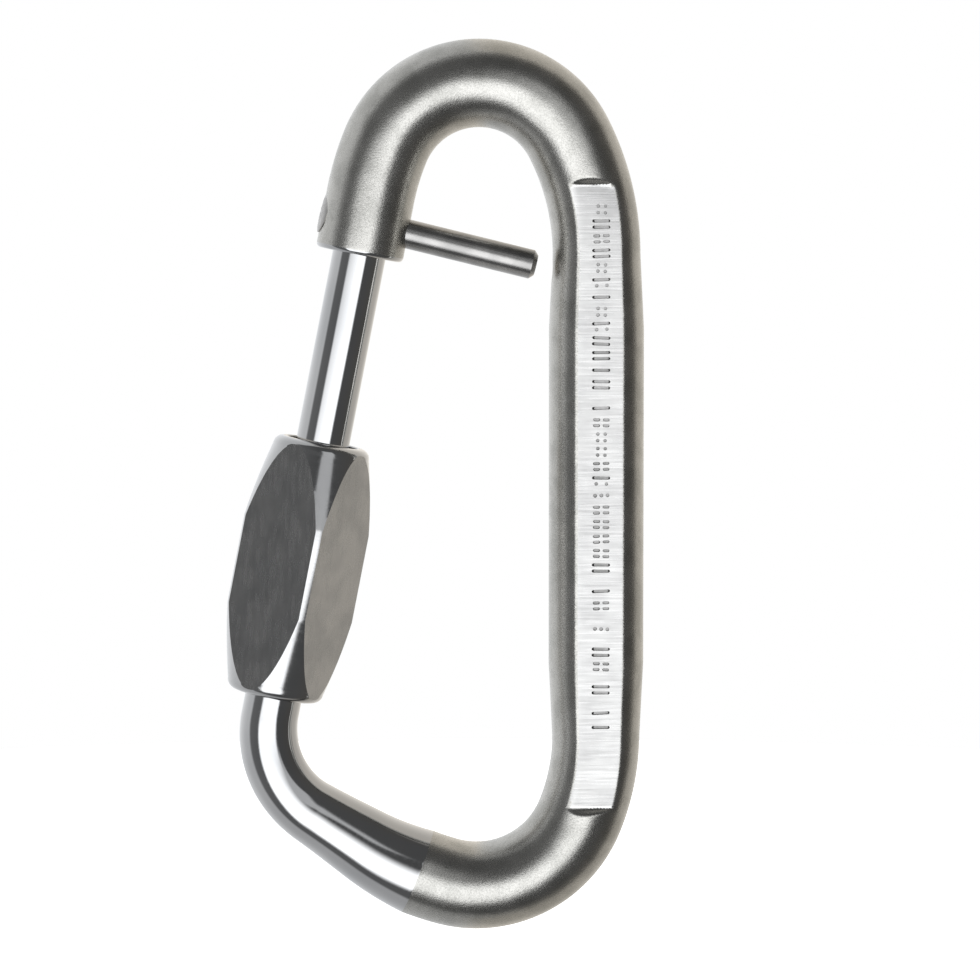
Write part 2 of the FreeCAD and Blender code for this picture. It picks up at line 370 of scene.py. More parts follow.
def screw_thread_tree():
    """Moves a plain round wall in or out along a right-hand V thread with a flat crest and root."""
    tree = bpy.data.node_groups.new("screw thread", "GeometryNodeTree")
    tree.interface.new_socket("Geometry", in_out="INPUT", socket_type="NodeSocketGeometry")
    for name in ("Pitch", "Depth", "Shift", "Foot", "Head", "Run-out", "Reach"):
        tree.interface.new_socket(name, in_out="INPUT", socket_type="NodeSocketFloat")
    tree.interface.new_socket("Material", in_out="INPUT", socket_type="NodeSocketMaterial")
    tree.interface.new_socket("Geometry", in_out="OUTPUT", socket_type="NodeSocketGeometry")
    nodes = tree.nodes
    links = tree.links
    given = nodes.new("NodeGroupInput")
    result = nodes.new("NodeGroupOutput")

    place = nodes.new("GeometryNodeInputPosition")
    split = nodes.new("ShaderNodeSeparateXYZ")
    links.new(place.outputs[0], split.inputs[0])
    x, y, z = split.outputs
    half_flat = 0.07
    flank_slope = 2.8
    turn = maths(tree, "DIVIDE", maths(tree, "ARCTAN2", y, x), 2 * math.pi)
    phase = maths(tree, "SUBTRACT", maths(tree, "DIVIDE", z, given.outputs["Pitch"]), turn)
    wave = maths(tree, "ABSOLUTE", maths(tree, "SUBTRACT", maths(tree, "FRACT", phase), 0.5))
    flank = maths(tree, "SUBTRACT", wave, half_flat)
    flank = maths(tree, "MULTIPLY", flank, flank_slope, clamp=True)
    rise = maths(tree, "SUBTRACT", z, given.outputs["Foot"])
    fall = maths(tree, "SUBTRACT", given.outputs["Head"], z)
    fade = maths(tree, "MINIMUM", rise, fall)
    fade = maths(tree, "DIVIDE", fade, given.outputs["Run-out"], clamp=True)
    height = maths(tree, "SUBTRACT", flank, given.outputs["Shift"])
    height = maths(tree, "MULTIPLY", height, given.outputs["Depth"])
    height = maths(tree, "MULTIPLY", height, fade)
    flat = nodes.new("ShaderNodeCombineXYZ")
    links.new(x, flat.inputs[0])
    links.new(y, flat.inputs[1])
    radius = nodes.new("ShaderNodeVectorMath")
    radius.operation = "LENGTH"
    links.new(flat.outputs[0], radius.inputs[0])
    outward = nodes.new("ShaderNodeVectorMath")
    outward.operation = "NORMALIZE"
    links.new(flat.outputs[0], outward.inputs[0])
    move = nodes.new("ShaderNodeVectorMath")
    move.operation = "SCALE"
    links.new(outward.outputs[0], move.inputs[0])
    links.new(height, move.inputs["Scale"])
    shape = nodes.new("GeometryNodeSetPosition")
    links.new(given.outputs["Geometry"], shape.inputs["Geometry"])
    within = maths(tree, "LESS_THAN", radius.outputs["Value"], given.outputs["Reach"])
    links.new(within, shape.inputs["Selection"])
    links.new(move.outputs[0], shape.inputs["Offset"])
    real = nodes.new("GeometryNodeRealizeInstances")
    links.new(shape.outputs[0], real.inputs[0])
    paint = nodes.new("GeometryNodeSetMaterial")
    links.new(real.outputs[0], paint.inputs["Geometry"])
    links.new(given.outputs["Material"], paint.inputs["Material"])
    links.new(paint.outputs[0], result.inputs[0])
    return tree


thread_tree = screw_thread_tree()
thread_run_out = 1.2
rings_per_turn = 16


def threaded(obj, low, high, material, shift=0.0, reach=10.0):
    """Cuts the thread into an upright piece whose height 0 is the elbow's end.

    With shift 0 crests stand out from the wall, and with 1 they stand inwards. Only the wall
    within reach of the axis is moved.
    """
    tool = obj.modifiers.new("thread", "NODES")
    tool.node_group = thread_tree
    sizes = {"Pitch": thread_pitch, "Depth": thread_depth, "Foot": low, "Head": high,
             "Run-out": thread_run_out, "Reach": reach}
    for name, size in sizes.items():
        input_value(tool, thread_tree, name, size * MM)
    for name, value in (("Shift", shift), ("Material", material)):
        input_value(tool, thread_tree, name, value)
    obj.data = evaluated(obj)


def grain_group():
    """Fine matt grain that tumbling leaves: even specks with a few deeper pits among them."""
    group = bpy.data.node_groups.new("tumbled grain", "ShaderNodeTree")
    group.interface.new_socket("Vector", in_out="INPUT", socket_type="NodeSocketVector")
    group.interface.new_socket("Scale", in_out="INPUT", socket_type="NodeSocketFloat")
    for name in ("Grain", "Cloud"):
        group.interface.new_socket(name, in_out="OUTPUT", socket_type="NodeSocketFloat")
    given = group.nodes.new("NodeGroupInput")
    result = group.nodes.new("NodeGroupOutput")
    speck = group.nodes.new("ShaderNodeTexNoise")
    speck.inputs["Detail"].default_value = 3.0
    speck.inputs["Roughness"].default_value = 0.65
    cloud = group.nodes.new("ShaderNodeTexNoise")
    cloud.inputs["Detail"].default_value = 2.0
    cloud_size = 14.0
    slower = maths(group, "DIVIDE", given.outputs["Scale"], cloud_size)
    for node, scale in ((speck, given.outputs["Scale"]), (cloud, slower)):
        group.links.new(given.outputs["Vector"], node.inputs["Vector"])
        group.links.new(scale, node.inputs["Scale"])
    group.links.new(speck.outputs[0], result.inputs["Grain"])
    group.links.new(cloud.outputs[0], result.inputs["Cloud"])
    return group


def lines_group():
    """Fine straight lines that a tool or a belt leaves, broken here and there."""
    group = bpy.data.node_groups.new("tool lines", "ShaderNodeTree")
    group.interface.new_socket("Vector", in_out="INPUT", socket_type="NodeSocketVector")
    group.interface.new_socket("Stretch", in_out="INPUT", socket_type="NodeSocketVector")
    group.interface.new_socket("Lines", in_out="OUTPUT", socket_type="NodeSocketFloat")
    given = group.nodes.new("NodeGroupInput")
    result = group.nodes.new("NodeGroupOutput")
    stretch = group.nodes.new("ShaderNodeVectorMath")
    stretch.operation = "MULTIPLY"
    group.links.new(given.outputs["Vector"], stretch.inputs[0])
    group.links.new(given.outputs["Stretch"], stretch.inputs[1])
    lines = group.nodes.new("ShaderNodeTexNoise")
    lines.inputs["Scale"].default_value = 1.0
    lines.inputs["Detail"].default_value = 2.0
    group.links.new(stretch.outputs[0], lines.inputs["Vector"])
    group.links.new(lines.outputs[0], result.inputs["Lines"])
    return group


tumbled_grain = grain_group()
tool_lines = lines_group()


def ranged(tree, value, low, high, to_low=0.0, to_high=1.0):
    """A value spread from one range to another, and held at both ends."""
    node = tree.nodes.new("ShaderNodeMapRange")
    limits = {"From Min": low, "From Max": high, "To Min": to_low, "To Max": to_high}
    for name, limit in limits.items():
        node.inputs[name].default_value = limit
    tree.links.new(value, node.inputs["Value"])
    return node.outputs[0]


def bumped(tree, height, distance, under=None):
    """A bump of so many millimetres, on top of another one where there is one."""
    node = tree.nodes.new("ShaderNodeBump")
    node.inputs["Strength"].default_value = 1.0
    node.inputs["Distance"].default_value = distance * MM
    tree.links.new(height, node.inputs["Height"])
    if under:
        tree.links.new(under, node.inputs["Normal"])
    return node.outputs[0]


def steel(name, tone, shade, roughness, rough_spread, grain_scale, grain_bump,
          stretch=(900, 900, 900), line_bump=0.0, from_uv=False, speckle=0.0, burnished=()):
    """A steel finish: two close tones, a roughness that varies, grain and tool lines."""
    material = bpy.data.materials.new(name)
    material.use_nodes = True
    tree = material.node_tree
    nodes = tree.nodes
    links = tree.links
    shader = nodes["Principled BSDF"]
    shader.inputs["Metallic"].default_value = 1.0
    places = nodes.new("ShaderNodeTexCoord")
    grain = nodes.new("ShaderNodeGroup")
    grain.node_tree = tumbled_grain
    grain.inputs["Scale"].default_value = grain_scale
    links.new(places.outputs["Object"], grain.inputs["Vector"])
    lines = nodes.new("ShaderNodeGroup")
    lines.node_tree = tool_lines
    lines.inputs["Stretch"].default_value = stretch
    links.new(places.outputs["UV" if from_uv else "Object"], lines.inputs["Vector"])
    mottle = ranged(tree, grain.outputs["Cloud"], 0.38, 0.64)
    specks = ranged(tree, grain.outputs["Grain"], 0.42, 0.62, -speckle, speckle)
    colour = nodes.new("ShaderNodeMix")
    colour.data_type = "RGBA"
    colour.inputs["A"].default_value = (*tone, 1)
    colour.inputs["B"].default_value = (*shade, 1)
    links.new(maths(tree, "ADD", mottle, specks, clamp=True), colour.inputs["Factor"])
    links.new(colour.outputs["Result"], shader.inputs["Base Color"])
    texture = lines if line_bump else grain
    gloss = ranged(tree, texture.outputs[0], 0.3, 0.7, roughness - rough_spread, roughness + rough_spread)
    if burnished:
        # The ends of the flats are rubbed bright, in a narrow line each.
        height = nodes.new("ShaderNodeSeparateXYZ")
        links.new(places.outputs["Object"], height.inputs[0])
        for rubbed, matt in burnished:
            band = ranged(tree, height.outputs["Z"], rubbed * MM, matt * MM)
            gloss = maths(tree, "MULTIPLY", gloss, band)
    links.new(gloss, shader.inputs["Roughness"])
    pits = bumped(tree, grain.outputs["Grain"], grain_bump)
    scores = bumped(tree, lines.outputs["Lines"], line_bump, under=pits)
    links.new(scores, shader.inputs["Normal"])
    return material


tumbled = steel("tumbled steel", (0.64, 0.625, 0.585), (0.51, 0.5, 0.465), 0.27, 0.07, 4200, 0.018,
                speckle=0.3)
polished = steel("polished steel", (0.66, 0.655, 0.65), (0.6, 0.6, 0.6), 0.09, 0.03, 1500, 0.0006,
                 stretch=(60, 2500, 0), line_bump=0.0006, from_uv=True)
rubbed_height = 0.3
rubbed_edge = 0.42
milled = steel("milled flat", (0.7, 0.69, 0.67), (0.62, 0.61, 0.595), 0.31, 0.07, 3800, 0.006,
               stretch=(160, 160, 4200), line_bump=0.010,
               burnished=((coin_top - rubbed_height, coin_top - rubbed_edge),
                          (coin_bottom + rubbed_height, coin_bottom + rubbed_edge)))
# The punch hollows get much darker tones than the steel around them, as painted shade in the recesses.
# Their higher roughness is the struck steel's own.
stamped_painted_shade = steel("stamped hollow", (0.44, 0.43, 0.42), (0.3, 0.295, 0.285), 0.34, 0.06, 3000, 0.008)
bar_finishes = [tumbled, polished, milled, stamped_painted_shade]

# Bore, rim round and bent bar in one run of rings, then the neck.
bore_chamfer = 0.15
rim_steps = 6
neck_heights = (1.3, 2.7)
rings = []
for radius, down in ((bore_r, socket_depth), (bore_r, bore_chamfer), (bore_r + bore_chamfer, 0.0)):
    rings.append([gate_place @ p for p in local_ring(radius, gate_span + down)])
for step in range(rim_steps):
    turn = math.radians(90 * step / rim_steps)
    radius = bar_r - socket_rim_round * (1 - math.sin(turn))
    rise = socket_rim_round * (1 - math.cos(turn))
    rings.append([gate_place @ p for p in local_ring(radius, gate_span + rise)])
rings += [bar_ring(s) for s in stations()]
thread_low = sleeve_foot + mouth_recess
thread_high = tip_height - nose_length
for height in (*neck_heights, thread_low):
    rings.append([gate_place @ p for p in local_ring(neck_r, height)])
bar_mesh = skin("bar", rings, caps=(True, False))

thread_steps = round((thread_high - thread_low) / thread_pitch * rings_per_turn)
tip_rings = [local_ring(neck_r, thread_low)]
tip_rings += [local_ring(thread_root_r, thread_low + (thread_high - thread_low) * step / thread_steps)
              for step in range(thread_steps + 1)]
tip_rings += [local_ring(nose_r, thread_high), local_ring(nose_r, tip_height - nose_chamfer),
              local_ring(nose_r - nose_chamfer, tip_height)]
tip = piece("tip", skin("tip", tip_rings, caps=(False, True)), [polished])
threaded(tip, thread_low, thread_high, polished)
tip.data.transform(mesh_on_gate)

bm = bmesh.new()
bm.from_mesh(bar_mesh)
bm.from_mesh(tip.data)
bmesh.ops.remove_doubles(bm, verts=bm.verts, dist=2e-6)
bm.to_mesh(bar_mesh)
bm.free()
bpy.data.objects.remove(tip)
bar = piece("bar", bar_mesh, bar_finishes)


# ---- Stamped marks --------------------------------------------------------------------
# Punch marks in a row down the front flat: cross bars and pips that mean nothing, struck into
# the steel one by one with blunt tools. They are hollows in the bar itself, as are the small
# dimple that faces the pin's tip and the nick on the spine's outer edge.
mark_width = 2.5
mark_depth = 0.3
mark_step = 1.98
mark_groups = [13, 12, 2, 1, 2, 1, 2]
mark_gap = 1.2
mark_shift = 0.4           # from the spine's middle towards its outer edge
marks_top = -3.4
mark_turn = 0.05
mark_seed = 7
tip_share = 0.8            # a punch is narrower at its tip than at the flat, and wider above it
top_share = 1.2


def punch(name, outlines):
    """A punch tool: upright prisms on outlines across the spine, their ends drawn in a little."""
    bm = bmesh.new()
    for outline in outlines:
        mid_x = sum(x for x, z in outline) / len(outline)
        mid_z = sum(z for x, z in outline) / len(outline)
        rows = []
        for share, y in ((tip_share, mark_depth), (top_share, -mark_depth)):
            corners = [Vector((mid_x + (x - mid_x) * share, y, mid_z + (z - mid_z) * share))
                       for x, z in outline]
            rows.append([bm.verts.new(corner * MM) for corner in corners])
        tip_row, top_row = rows
        count = len(outline)
        for i in range(count):
            j = (i + 1) % count
            bm.faces.new((tip_row[i], tip_row[j], top_row[j], top_row[i]))
        bm.faces.new(tip_row)
        bm.faces.new(top_row)
    bmesh.ops.recalc_face_normals(bm, faces=bm.faces)
    mesh = bpy.data.meshes.new(name)
    bm.to_mesh(mesh)
    bm.free()
    return piece(name, mesh, [stamped_painted_shade])


def slot_outline(x, z, length, width):
    """A round-ended slot: its middle, its length across the spine and its width along it."""
    outline = []
    for side in (1, -1):
        for step in range(5):
            a = math.radians(-90 + 45 * step)
            u = side * ((length - width) / 2 + width / 2 * math.cos(a))
            v = side * width / 2 * math.sin(a)
            outline.append((x + u, z + v))
    return outline


stroke = 0.42
punches = [
    punch("punch_bar", [slot_outline(0, 0, mark_width, stroke)]),
    punch("punch_two_bars", [slot_outline(0, 0.42, mark_width, stroke),
                             slot_outline(0, -0.42, mark_width, stroke)]),
    punch("punch_three_pips", [slot_outline(x, 0, 0.55, 0.54) for x in (-0.85, 0, 0.85)]),
    punch("punch_short_bars", [slot_outline(x, z, 0.95, stroke) for x in (-0.65, 0.65)
                               for z in (0.4, -0.4)]),
    punch("punch_square_pips", [slot_outline(x, z, 0.5, 0.49) for x in (-0.5, 0.5)
                                for z in (0.45, -0.45)]),
    punch("punch_bar_and_pips", [slot_outline(0, 0.4, mark_width, stroke),
                                 slot_outline(-0.7, -0.4, 0.5, 0.49),
                                 slot_outline(0.7, -0.4, 0.5, 0.49)]),
]
punch_shelf = bpy.data.collections.new("punches")
for tool in punches:
    bpy.context.scene.collection.objects.unlink(tool)
    punch_shelf.objects.link(tool)


def punch_row_tree():
    """One punch, picked at random with a fixed seed, on each point, and turned a hair."""
    tree = bpy.data.node_groups.new("punch row", "GeometryNodeTree")
    tree.interface.new_socket("Geometry", in_out="INPUT", socket_type="NodeSocketGeometry")
    tree.interface.new_socket("Punches", in_out="INPUT", socket_type="NodeSocketCollection")
    tree.interface.new_socket("Lean", in_out="INPUT", socket_type="NodeSocketFloat")
    tree.interface.new_socket("Seed", in_out="INPUT", socket_type="NodeSocketInt")
    tree.interface.new_socket("Material", in_out="INPUT", socket_type="NodeSocketMaterial")
    tree.interface.new_socket("Geometry", in_out="OUTPUT", socket_type="NodeSocketGeometry")
    nodes = tree.nodes
    links = tree.links
    given = nodes.new("NodeGroupInput")
    result = nodes.new("NodeGroupOutput")
    tools = nodes.new("GeometryNodeCollectionInfo")
    tools.inputs["Separate Children"].default_value = True
    links.new(given.outputs["Punches"], tools.inputs["Collection"])
    pick = nodes.new("FunctionNodeRandomValue")
    pick.data_type = "INT"
    for socket in pick.inputs:
        if socket.name == "Max" and socket.type == "INT":
            socket.default_value = len(punches) - 1
        if socket.name == "Min" and socket.type == "INT":
            socket.default_value = 0
    links.new(given.outputs["Seed"], pick.inputs["Seed"])
    lean = nodes.new("FunctionNodeRandomValue")
    lean.data_type = "FLOAT"
    flipped = maths(tree, "MULTIPLY", given.outputs["Lean"], -1.0)
    for socket in lean.inputs:
        if socket.type == "VALUE" and socket.name == "Min":
            links.new(flipped, socket)
        if socket.type == "VALUE" and socket.name == "Max":
            links.new(given.outputs["Lean"], socket)
    links.new(given.outputs["Seed"], lean.inputs["Seed"])
    turn = nodes.new("ShaderNodeCombineXYZ")
    place = nodes.new("GeometryNodeInstanceOnPoints")
    place.inputs["Pick Instance"].default_value = True
    picked = [s for s in pick.outputs if s.type == "INT"][0]
    leant = [s for s in lean.outputs if s.type == "VALUE"][0]
    links.new(leant, turn.inputs["Y"])
    links.new(given.outputs["Geometry"], place.inputs["Points"])
    links.new(tools.outputs[0], place.inputs["Instance"])
    links.new(picked, place.inputs["Instance Index"])
    links.new(turn.outputs[0], place.inputs["Rotation"])
    real = nodes.new("GeometryNodeRealizeInstances")
    links.new(place.outputs[0], real.inputs[0])
    paint = nodes.new("GeometryNodeSetMaterial")
    links.new(real.outputs[0], paint.inputs["Geometry"])
    links.new(given.outputs["Material"], paint.inputs["Material"])
    links.new(paint.outputs[0], result.inputs[0])
    return tree


marks_mesh = bpy.data.meshes.new("marks")
places = []
mark_y = coin_depth - bar_r + coin_lean * mark_shift
z = marks_top
for count in mark_groups:
    for mark in range(count):
        places.append(Vector((spine_x + mark_shift, mark_y, z)) * MM)
        z -= mark_step
    z -= mark_gap
marks_mesh.from_pydata(places, [], [])
marks = piece("marks", marks_mesh, [stamped_painted_shade])
row_tree = punch_row_tree()
row = marks.modifiers.new("row", "NODES")
row.node_group = row_tree
for name, value in (("Punches", punch_shelf), ("Lean", mark_turn), ("Seed", mark_seed),
                    ("Material", stamped_painted_shade)):
    input_value(row, row_tree, name, value)
marks.data = evaluated(marks)
marks.data.materials.clear()
for finish in bar_finishes:
    marks.data.materials.append(finish)
# The hollows' faces take the darker tones, which are painted shade.
for face in marks.data.polygons:
    face.material_index = bar_finishes.index(stamped_painted_shade)

# The pin's line, on which the dimple lies.
pin_slope = 13.8
pin_height = 4.3
pin_gap = 2.2
pin_r = 2.0
pin_along = heading_vector(-pin_slope)
pin_cross = socket_face + gate_up * pin_height
pin_aim_z = pin_cross.z - (spine_x - bar_r - pin_cross.x) * math.tan(math.radians(pin_slope))
pin_aim_x = spine_x - bar_r - spine_bulge * (spine_start.z - pin_aim_z) / coin_blend


def dent_cutter(name, centre, radius):
    """A ball that leaves a round dent where it meets the bar."""
    bm = bmesh.new()
    bmesh.ops.create_icosphere(bm, subdivisions=5, radius=radius * MM)
    bmesh.ops.translate(bm, verts=bm.verts, vec=centre * MM)
    mesh = bpy.data.meshes.new(name)
    bm.to_mesh(mesh)
    bm.free()
    return piece(name, mesh, [tumbled])


dimple_half = 1.7
dimple_depth = 0.45
nick_r = 0.95
nick_depth = 0.2
nick_y = -0.6
nick_z = -22.5
dimple_r = (dimple_half ** 2 + dimple_depth ** 2) / (2 * dimple_depth)
dimple = dent_cutter("dimple", Vector((pin_aim_x - dimple_r + dimple_depth, 0, pin_aim_z)), dimple_r)
nick_x = spine_x + bar_r + spine_bulge + nick_r - nick_depth
nick = dent_cutter("nick", Vector((nick_x, nick_y, nick_z)), nick_r)
cut(bar, marks)
cut(bar, dimple)
cut(bar, nick)
for tool in punches:
    bpy.data.objects.remove(tool)

# The arm below the taper and the socket's turned rim are polished, and the flats are milled.
flat_y = bar_r - coin_depth
flat_reach = 0.7
press_side = 4.0           # the spine's side of the loop, in x
arm_height = -58.0         # the arm lies below this
polish_line, polish_heading = where(taper_begins)
polish_along = heading_vector(polish_heading)
for face in bar.data.polygons:
    centre = face.center / MM
    in_press = centre.x > press_side and coin_bottom - 0.05 < centre.z < coin_top + 0.05
    on_arm = (centre.x < 0 and centre.z < arm_height
              and (centre - polish_line).dot(polish_along) > 0)
    on_rim = centre.x < 0 and abs((centre - socket_face).dot(gate_up)) < socket_rim_round
    on_flat = abs(face.normal.y) > 0.985 and abs(abs(centre.y) - flat_y) < flat_reach
    if face.material_index == bar_finishes.index(stamped_painted_shade):
        continue
    if on_arm or on_rim:
        face.material_index = bar_finishes.index(polished)
    elif in_press and on_flat:
        face.material_index = bar_finishes.index(milled)
crisp(bar.data)
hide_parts("body")
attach(bar, "link")


# ---- Stud -----------------------------------------------------------------------------
# A turned and mirror-polished stainless stud. Its upper end sits in the socket, held there by
# the cross pin. Its lower end is threaded for the sleeve, on the same helix as the bar's tip.
stud_r = 3.65
stud_foot = sleeve_foot + sleeve_length - thread_hold
stud_thread_top = sleeve_foot + sleeve_length - mouth_recess
stud_thread_low = stud_foot + nose_length
stud_top = gate_span + socket_depth - 0.05
stud_thread = stud_thread_top - stud_thread_low
stud_plain = stud_top - nose_chamfer - stud_thread_top
plain_steps = 12
steps = round(stud_thread / thread_pitch * rings_per_turn)
stud_rings = [local_ring(nose_r - nose_chamfer, stud_foot), local_ring(nose_r, stud_foot + nose_chamfer),
              local_ring(nose_r, stud_thread_low)]
stud_rings += [local_ring(thread_root_r, stud_thread_low + stud_thread * i / steps)
               for i in range(steps + 1)]
stud_rings += [local_ring(stud_r, stud_thread_top)]
stud_rings += [local_ring(stud_r, stud_thread_top + stud_plain * i / plain_steps)
               for i in range(1, plain_steps + 1)]
stud_rings += [local_ring(stud_r - nose_chamfer, stud_top)]
stud_polish = steel("stud polish", (0.68, 0.675, 0.67), (0.62, 0.62, 0.62), 0.07, 0.03, 1200, 0.0005,
                    stretch=(70, 90, 0), line_bump=0.0012, from_uv=True)
stud = piece("threaded_stud", skin("threaded_stud", stud_rings), [stud_polish])
threaded(stud, stud_thread_low, stud_thread_top, stud_polish)
stud.data.transform(mesh_on_gate)
crisp(stud.data)
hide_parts("stud")
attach(stud, "link")


# ---- Cross pin ------------------------------------------------------------------------
# A plain drawn steel pin, driven through socket and stud. Its outer end is peened over in a
# countersink, which leaves a rough low head. Its free end is chamfered and points at the spine.
pin_tip_chamfer = 0.6
pin_head_r = 2.7
pin_head_depth = 0.8
pin_head_crown = 0.25
head_seat = 0.9
pin_inner = (pin_aim_x - pin_gap - pin_cross.x) / pin_along.x
pin_turn = Matrix.Rotation(math.radians(90 + pin_slope), 4, "Y")
hammer_marks = 0.04
head_lift = 0.04
shank_start = -4.0
shank_steps = 14
pin_rings = []
for share in (0.08, 0.25, 0.45, 0.62, 0.78, 0.88, 0.95, 1.0):
    ring = local_ring(pin_head_r * share, 0)
    for p in ring:
        wear = math.sin(p.x * 5.1 + 1.3) * math.sin(p.y * 6.3) + 0.6 * math.sin(p.x * 11 - p.y * 9)
        crown = pin_head_crown * math.sqrt(1 - share ** 2) + hammer_marks * wear * (1 - share ** 6)
        p.z = -math.sqrt(bar_r ** 2 - p.y ** 2) - crown - head_lift
    pin_rings.append(ring)
pin_rings.append(local_ring(pin_r, -bar_r + pin_head_depth + head_seat))
shank = pin_inner - pin_tip_chamfer - shank_start
pin_rings += [local_ring(pin_r, shank_start + shank * i / shank_steps) for i in range(shank_steps + 1)]
pin_rings.append(local_ring(pin_r - pin_tip_chamfer, pin_inner))
drawn = steel("drawn pin steel", (0.54, 0.525, 0.505), (0.42, 0.41, 0.395), 0.25, 0.06, 5200, 0.006,
              stretch=(220, 60, 0), line_bump=0.003, from_uv=True)
pin = piece("drive_pin", skin("drive_pin", pin_rings), [drawn])
pin.data.transform(Matrix.Translation(pin_cross * MM) @ pin_turn)
crisp(pin.data, angle=30)
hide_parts("cross_pin")
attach(pin, "link")


# ---- Screw sleeve ---------------------------------------------------------------------
# A long nut turned from stainless bar as a double cone and milled square, so that four flats
# meet the polished cones in curved edges. It is threaded right through.
mid_r = 8.75
across_flats = 13.0
flats_turn = -33.5
cone_angle = 11.5
cone_crown = 0.12
lip_wall = 0.43
lip_round = 1.3
rim_height = 0.6
thread_play = 0.12
mouth_relief = 0.1
groove_r = thread_root_r + thread_depth + thread_play
mouth_r = groove_r + mouth_relief
sleeve_end_r = mouth_r + lip_wall + lip_round
mouth_chamfer = 0.12
mouth_chamfer_height = 0.15
bore_rings_per_turn = 14
cone_steps = 24


def crowned_cone(r_a, h_a, r_b, h_b, steps):
    """Points from one end of a cone to the other, swelling a little past straight."""
    points = []
    for i in range(steps + 1):
        t = i / steps
        swell = cone_crown * 4 * t * (1 - t)
        points.append((r_a + (r_b - r_a) * t + swell, h_a + (h_b - h_a) * t))
    return points


def lip(steps=8):
    """The rounded lip as (radius, distance in from the end) from its flat to its side."""
    centre = sleeve_end_r - lip_round
    turns = [math.radians(90 * i / steps) for i in range(steps + 1)]
    return [(centre + lip_round * math.sin(a), lip_round * (1 - math.cos(a))) for a in turns]


def wall(low, high):
    """Bore wall from the lower end of the sleeve's thread to its upper end."""
    count = round((high - low) / thread_pitch * bore_rings_per_turn)
    return [(groove_r, low + (high - low) * i / count) for i in range(count + 1)]


cone_length = (mid_r - sleeve_end_r) / math.tan(math.radians(cone_angle))
split = sleeve_length - rim_height
belly_low = lip_round + cone_length
belly_high = sleeve_length - lip_round - cone_length
outside = lip()
outside += crowned_cone(sleeve_end_r, lip_round, mid_r, belly_low, cone_steps)[1:]
outside += crowned_cone(mid_r, belly_high, sleeve_end_r, sleeve_length - lip_round, cone_steps)
lip_top = [(r, sleeve_length - h) for r, h in reversed(lip())]
under_split = [(r, h) for r, h in lip_top[1:] if h < split - 0.02]
over_split = [(r, h) for r, h in lip_top if h > split + 0.02]
drop = lip_round - rim_height
split_r = sleeve_end_r - lip_round + math.sqrt(lip_round ** 2 - drop ** 2)
outside += under_split + [(split_r, split)]
inside = [(mouth_r, split), (mouth_r, sleeve_length - mouth_recess)]
inside += list(reversed(wall(mouth_recess, sleeve_length - mouth_recess)))
inside += [(mouth_r, mouth_recess), (mouth_r, mouth_chamfer_height), (mouth_r + mouth_chamfer, 0.0)]


def closed_turning(name, points, foot, materials):
    """A ring-shaped turned piece: the outline runs up the outside and down the bore."""
    rings = [local_ring(r, foot + h) for r, h in points]
    return piece(name, skin(name, rings + rings[:1], caps=(False, False)), materials)


cone_polish = steel("cone polish", (0.66, 0.655, 0.65), (0.58, 0.58, 0.575), 0.13, 0.04, 1800, 0.0012,
                    stretch=(8, 3200, 0), line_bump=0.0012, from_uv=True)
brushed = steel("brushed sleeve flat", (0.56, 0.55, 0.535), (0.48, 0.475, 0.465), 0.25, 0.05, 3600, 0.004,
                stretch=(1800, 1800, 260), line_bump=0.003)
sleeve = closed_turning("square_sleeve", outside + inside, sleeve_foot, [cone_polish, brushed])
crisp(sleeve.data)
threaded(sleeve, sleeve_foot + mouth_recess, sleeve_foot + sleeve_length - mouth_recess, cone_polish,
         shift=1.0, reach=groove_r + 0.04)
sleeve.data.materials.clear()
sleeve.data.materials.append(cone_polish)
sleeve.data.materials.append(brushed)

# The square that the mill leaves: what lies outside it is cut away.
square_size = Vector((across_flats, across_flats, sleeve_length + 8)) * MM
square_turn = Matrix.Rotation(math.radians(flats_turn), 3, "Z")
square_middle = Vector((0, 0, sleeve_foot + sleeve_length / 2)) * MM
bm = bmesh.new()
bmesh.ops.create_cube(bm, size=1.0)
bmesh.ops.scale(bm, verts=bm.verts, vec=square_size)
bmesh.ops.rotate(bm, verts=bm.verts, cent=(0, 0, 0), matrix=square_turn)
bmesh.ops.translate(bm, verts=bm.verts, vec=square_middle)
square_mesh = bpy.data.meshes.new("square")
bm.to_mesh(square_mesh)
bm.free()
square = piece("square", square_mesh, [cone_polish, brushed])
for polygon in square.data.polygons:
    polygon.material_index = 1
cut(sleeve, square, operation="INTERSECT")
sleeve.data.transform(mesh_on_gate)
crisp(sleeve.data, angle=12)
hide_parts("sleeve")
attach(sleeve, "screw_sleeve")


# ---- Sleeve rim -----------------------------------------------------------------------
# The round rim of the sleeve's upper mouth, turned with the sleeve and polished. Being round,
# it looks the same however far the sleeve is screwed.
rim_outline = [(split_r, split)] + over_split
rim_outline += [(mouth_r + mouth_chamfer, sleeve_length),
                (mouth_r, sleeve_length - mouth_chamfer_height), (mouth_r, split)]
rim = closed_turning("mouth_rim", rim_outline, sleeve_foot, [cone_polish])
rim.data.transform(mesh_on_gate)
crisp(rim.data, angle=30)
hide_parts("sleeve_rim")
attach(rim, "sleeve_carrier")


# ---- Floor ----------------------------------------------------------------------------
# A plain pale round board under the object. It is even and near white, and steel doesn't mirror it.
floor_gap = 0.012
floor_radius = 0.3
bm = bmesh.new()
bmesh.ops.create_circle(bm, cap_ends=True, radius=floor_radius, segments=96)
bmesh.ops.translate(bm, verts=bm.verts, vec=(0, 0, cad_box[0][2] - floor_gap))
floor_mesh = bpy.data.meshes.new("floor")
bm.to_mesh(floor_mesh)
bm.free()
pale = bpy.data.materials.new("pale board")
pale.use_nodes = True
pale_shader = pale.node_tree.nodes["Principled BSDF"]
pale_shader.inputs["Base Color"].default_value = (0.9, 0.9, 0.9, 1)
pale_shader.inputs["Emission Color"].default_value = (1, 1, 1, 1)
pale_shader.inputs["Emission Strength"].default_value = 1.0
floor = piece("floor", floor_mesh, [pale])
floor.visible_glossy = False


